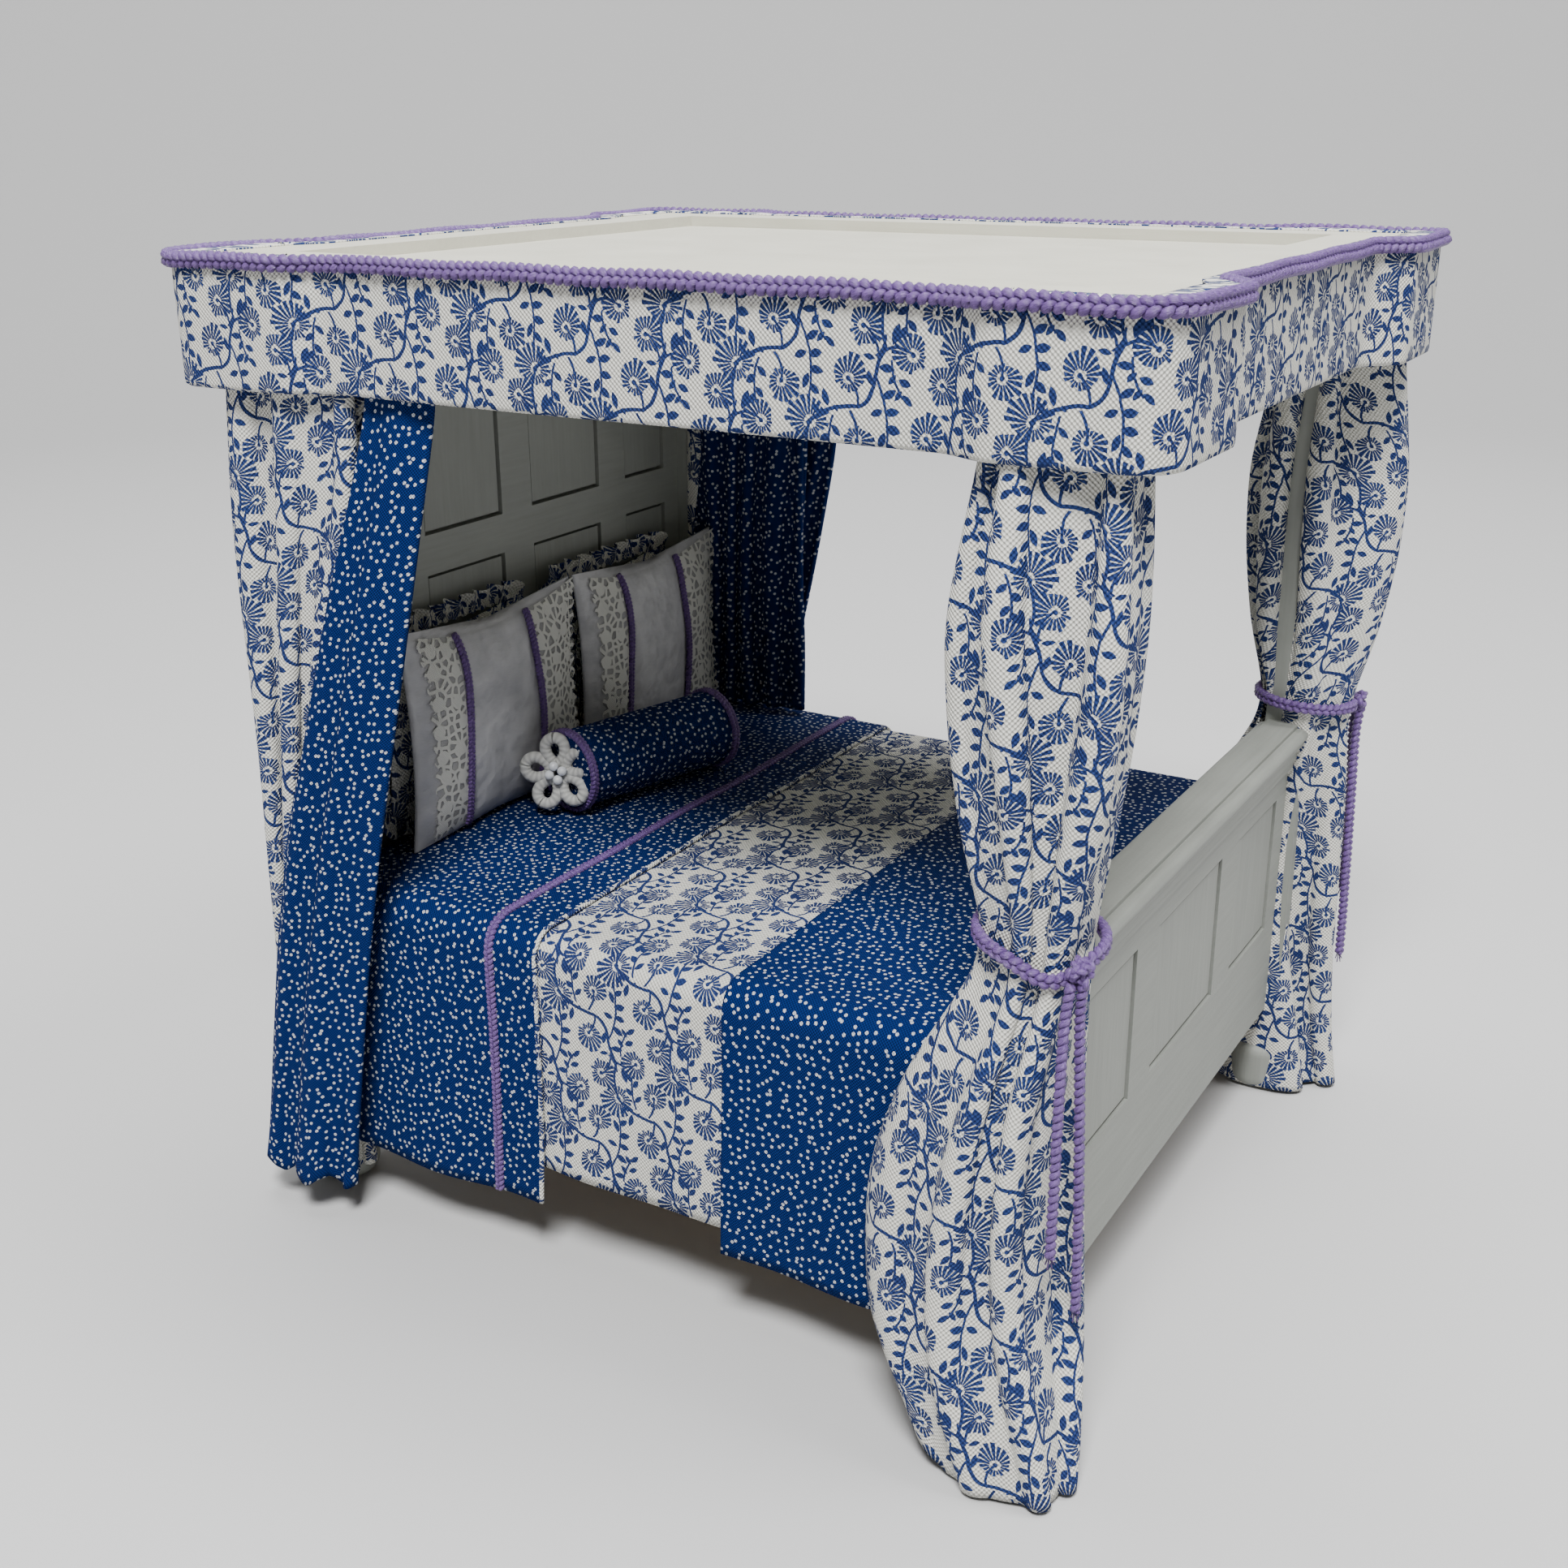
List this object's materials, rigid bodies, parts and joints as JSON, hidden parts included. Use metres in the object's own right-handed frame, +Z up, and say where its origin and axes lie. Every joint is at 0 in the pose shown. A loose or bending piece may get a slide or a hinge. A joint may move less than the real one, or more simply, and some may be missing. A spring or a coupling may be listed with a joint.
{
  "type": "miniature four poster bed",
  "caption": "Dolls house four poster bed with a flat tester, printed valance, tied-back curtains, panelled end boards, made-up covers, pillows and a bolster.",
  "frame": {"origin": "centre of the bed on the floor, under the middle of the tester", "axes": "+Z up, +Y towards the headboard, +X to the right as seen from the foot end"},
  "size_m": [0.194, 0.202, 0.201],
  "materials": {
    "grey_paint": "painted, satin",
    "cream_paint": "painted, matte",
    "bare_wood": "sanded",
    "floral_cotton": "woven",
    "dotted_cotton": "woven",
    "lavender_braid": "satin",
    "mattress_ticking": "woven",
    "white_satin": "satin",
    "white_lace": "matte",
    "pearl_beads": "polished"
  },
  "bodies": {
    "bed": {"post_head_left": "grey_paint", "post_head_right": "grey_paint", "post_foot_left": "grey_paint", "post_foot_right": "grey_paint", "tester_dowels": "bare_wood", "headboard_back": "grey_paint", "headboard_frame": "grey_paint", "headboard_panels": "grey_paint", "footboard_back": "grey_paint", "footboard_frame": "grey_paint", "footboard_panels": "grey_paint", "footboard_cap": "grey_paint", "side_rail_left": "grey_paint", "side_rail_right": "grey_paint", "bed_base": "bare_wood", "mattress": "mattress_ticking", "tester_frame": "cream_paint", "tester_panel": "cream_paint", "pelmet_left": "cream_paint", "pelmet_right": "cream_paint", "pelmet_head": "cream_paint", "pelmet_foot": "cream_paint", "valance": "floral_cotton", "valance_braid": "lavender_braid", "bedspread": "floral_cotton", "runner": "dotted_cotton", "turndown": "dotted_cotton", "turndown_braid": "lavender_braid", "curtain_foot_left": "floral_cotton", "curtain_foot_right": "floral_cotton", "curtain_head_left": "floral_cotton", "curtain_head_right": "floral_cotton", "inner_curtain_left": "dotted_cotton", "inner_curtain_right": "dotted_cotton", "lining_left": "dotted_cotton", "lining_right": "dotted_cotton", "tieback_left": "lavender_braid", "tieback_right": "lavender_braid", "tie_knot_left": "lavender_braid", "tie_knot_right": "lavender_braid", "tie_tail_left_long": "lavender_braid", "tie_tail_left_short": "lavender_braid", "tie_tail_right_long": "lavender_braid", "tie_tail_right_short": "lavender_braid"},
    "bolster": {"bolster": "dotted_cotton", "bolster_braid": "lavender_braid", "bolster_flower": "white_lace", "bolster_beads": "pearl_beads"},
    "front_pillow_left": {"pillow_front_left": "white_satin", "pillow_lace_left": "white_lace", "pillow_braid_left": "lavender_braid"},
    "front_pillow_right": {"pillow_front_right": "white_satin", "pillow_lace_right": "white_lace", "pillow_braid_right": "lavender_braid"},
    "back_pillow_left": {"pillow_back_left": "floral_cotton"},
    "back_pillow_right": {"pillow_back_right": "floral_cotton"}
  },
  "joints": [
    {"name": "lift_bolster", "type": "slide", "parent": "bed", "child": "bolster", "axis": [0, 0, 1], "range_m": [0, 0.05]},
    {"name": "lift_front_pillow_left", "type": "slide", "parent": "bed", "child": "front_pillow_left", "axis": [0, 0, 1], "range_m": [0, 0.05]},
    {"name": "lift_front_pillow_right", "type": "slide", "parent": "bed", "child": "front_pillow_right", "axis": [0, 0, 1], "range_m": [0, 0.05]},
    {"name": "lift_back_pillow_left", "type": "slide", "parent": "bed", "child": "back_pillow_left", "axis": [0, 0, 1], "range_m": [0, 0.045]},
    {"name": "lift_back_pillow_right", "type": "slide", "parent": "bed", "child": "back_pillow_right", "axis": [0, 0, 1], "range_m": [0, 0.045]}
  ]
}
